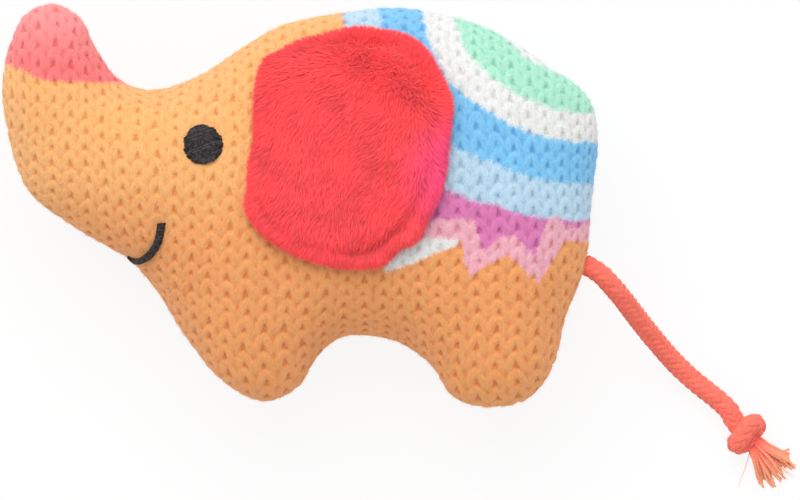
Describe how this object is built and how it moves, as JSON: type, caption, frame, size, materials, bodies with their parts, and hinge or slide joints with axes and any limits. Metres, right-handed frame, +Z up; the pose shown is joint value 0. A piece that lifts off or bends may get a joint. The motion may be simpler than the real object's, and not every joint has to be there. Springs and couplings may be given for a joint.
{
  "type": "elephant cat toy",
  "caption": "Stuffed knit elephant cat toy lying on its side, with striped back, red plush ears, embroidered eyes and a knotted cord tail.",
  "frame": {"origin": "on the surface the toy lies on, under the middle of its body, tail cord left out", "axes": "+X from trunk to tail, +Y from feet to back, +Z up through the toy's left side"},
  "size_m": [0.1602, 0.096, 0.0432],
  "materials": {
    "knit_orange": "matte",
    "knit_coral": "matte",
    "fibre_fill": "matte",
    "plush_red": "matte",
    "ear_lining_red": "matte",
    "thread_black": "satin",
    "cord_coral": "matte"
  },
  "bodies": {
    "root": {"torso": "knit_orange", "head": "knit_orange", "trunk": "knit_orange", "trunk_tip": "knit_coral", "front_leg": "knit_orange", "hind_leg": "knit_orange", "stuffing": "fibre_fill", "left_eye": "thread_black", "right_eye": "thread_black", "left_smile": "thread_black", "right_smile": "thread_black", "tail_anchor": "cord_coral"},
    "left_ear": {"left_ear_plush": "plush_red", "left_ear_lining": "ear_lining_red"},
    "right_ear": {"right_ear_plush": "plush_red", "right_ear_lining": "ear_lining_red"},
    "tail": {"tail_cord": "cord_coral", "tail_knot": "cord_coral", "tail_tassel": "cord_coral"}
  },
  "joints": [
    {"name": "left_ear_flap", "type": "hinge", "parent": "root", "child": "left_ear", "pos_m": [-0.0109, 0.0119, 0.0362], "axis": [-0.1103, -0.9765, 0.1851], "range_deg": [0, 90]},
    {"name": "right_ear_flap", "type": "hinge", "parent": "root", "child": "right_ear", "pos_m": [-0.01102, 0.0073, 0.00498], "axis": [0.1121, 0.9934, 0.0223], "range_deg": [0, 90]},
    {"name": "tail_swing", "type": "hinge", "parent": "root", "child": "tail", "pos_m": [0.0581, -0.012, 0.0201], "axis": [0, 0, 1], "range_deg": [-25, 60]}
  ]
}
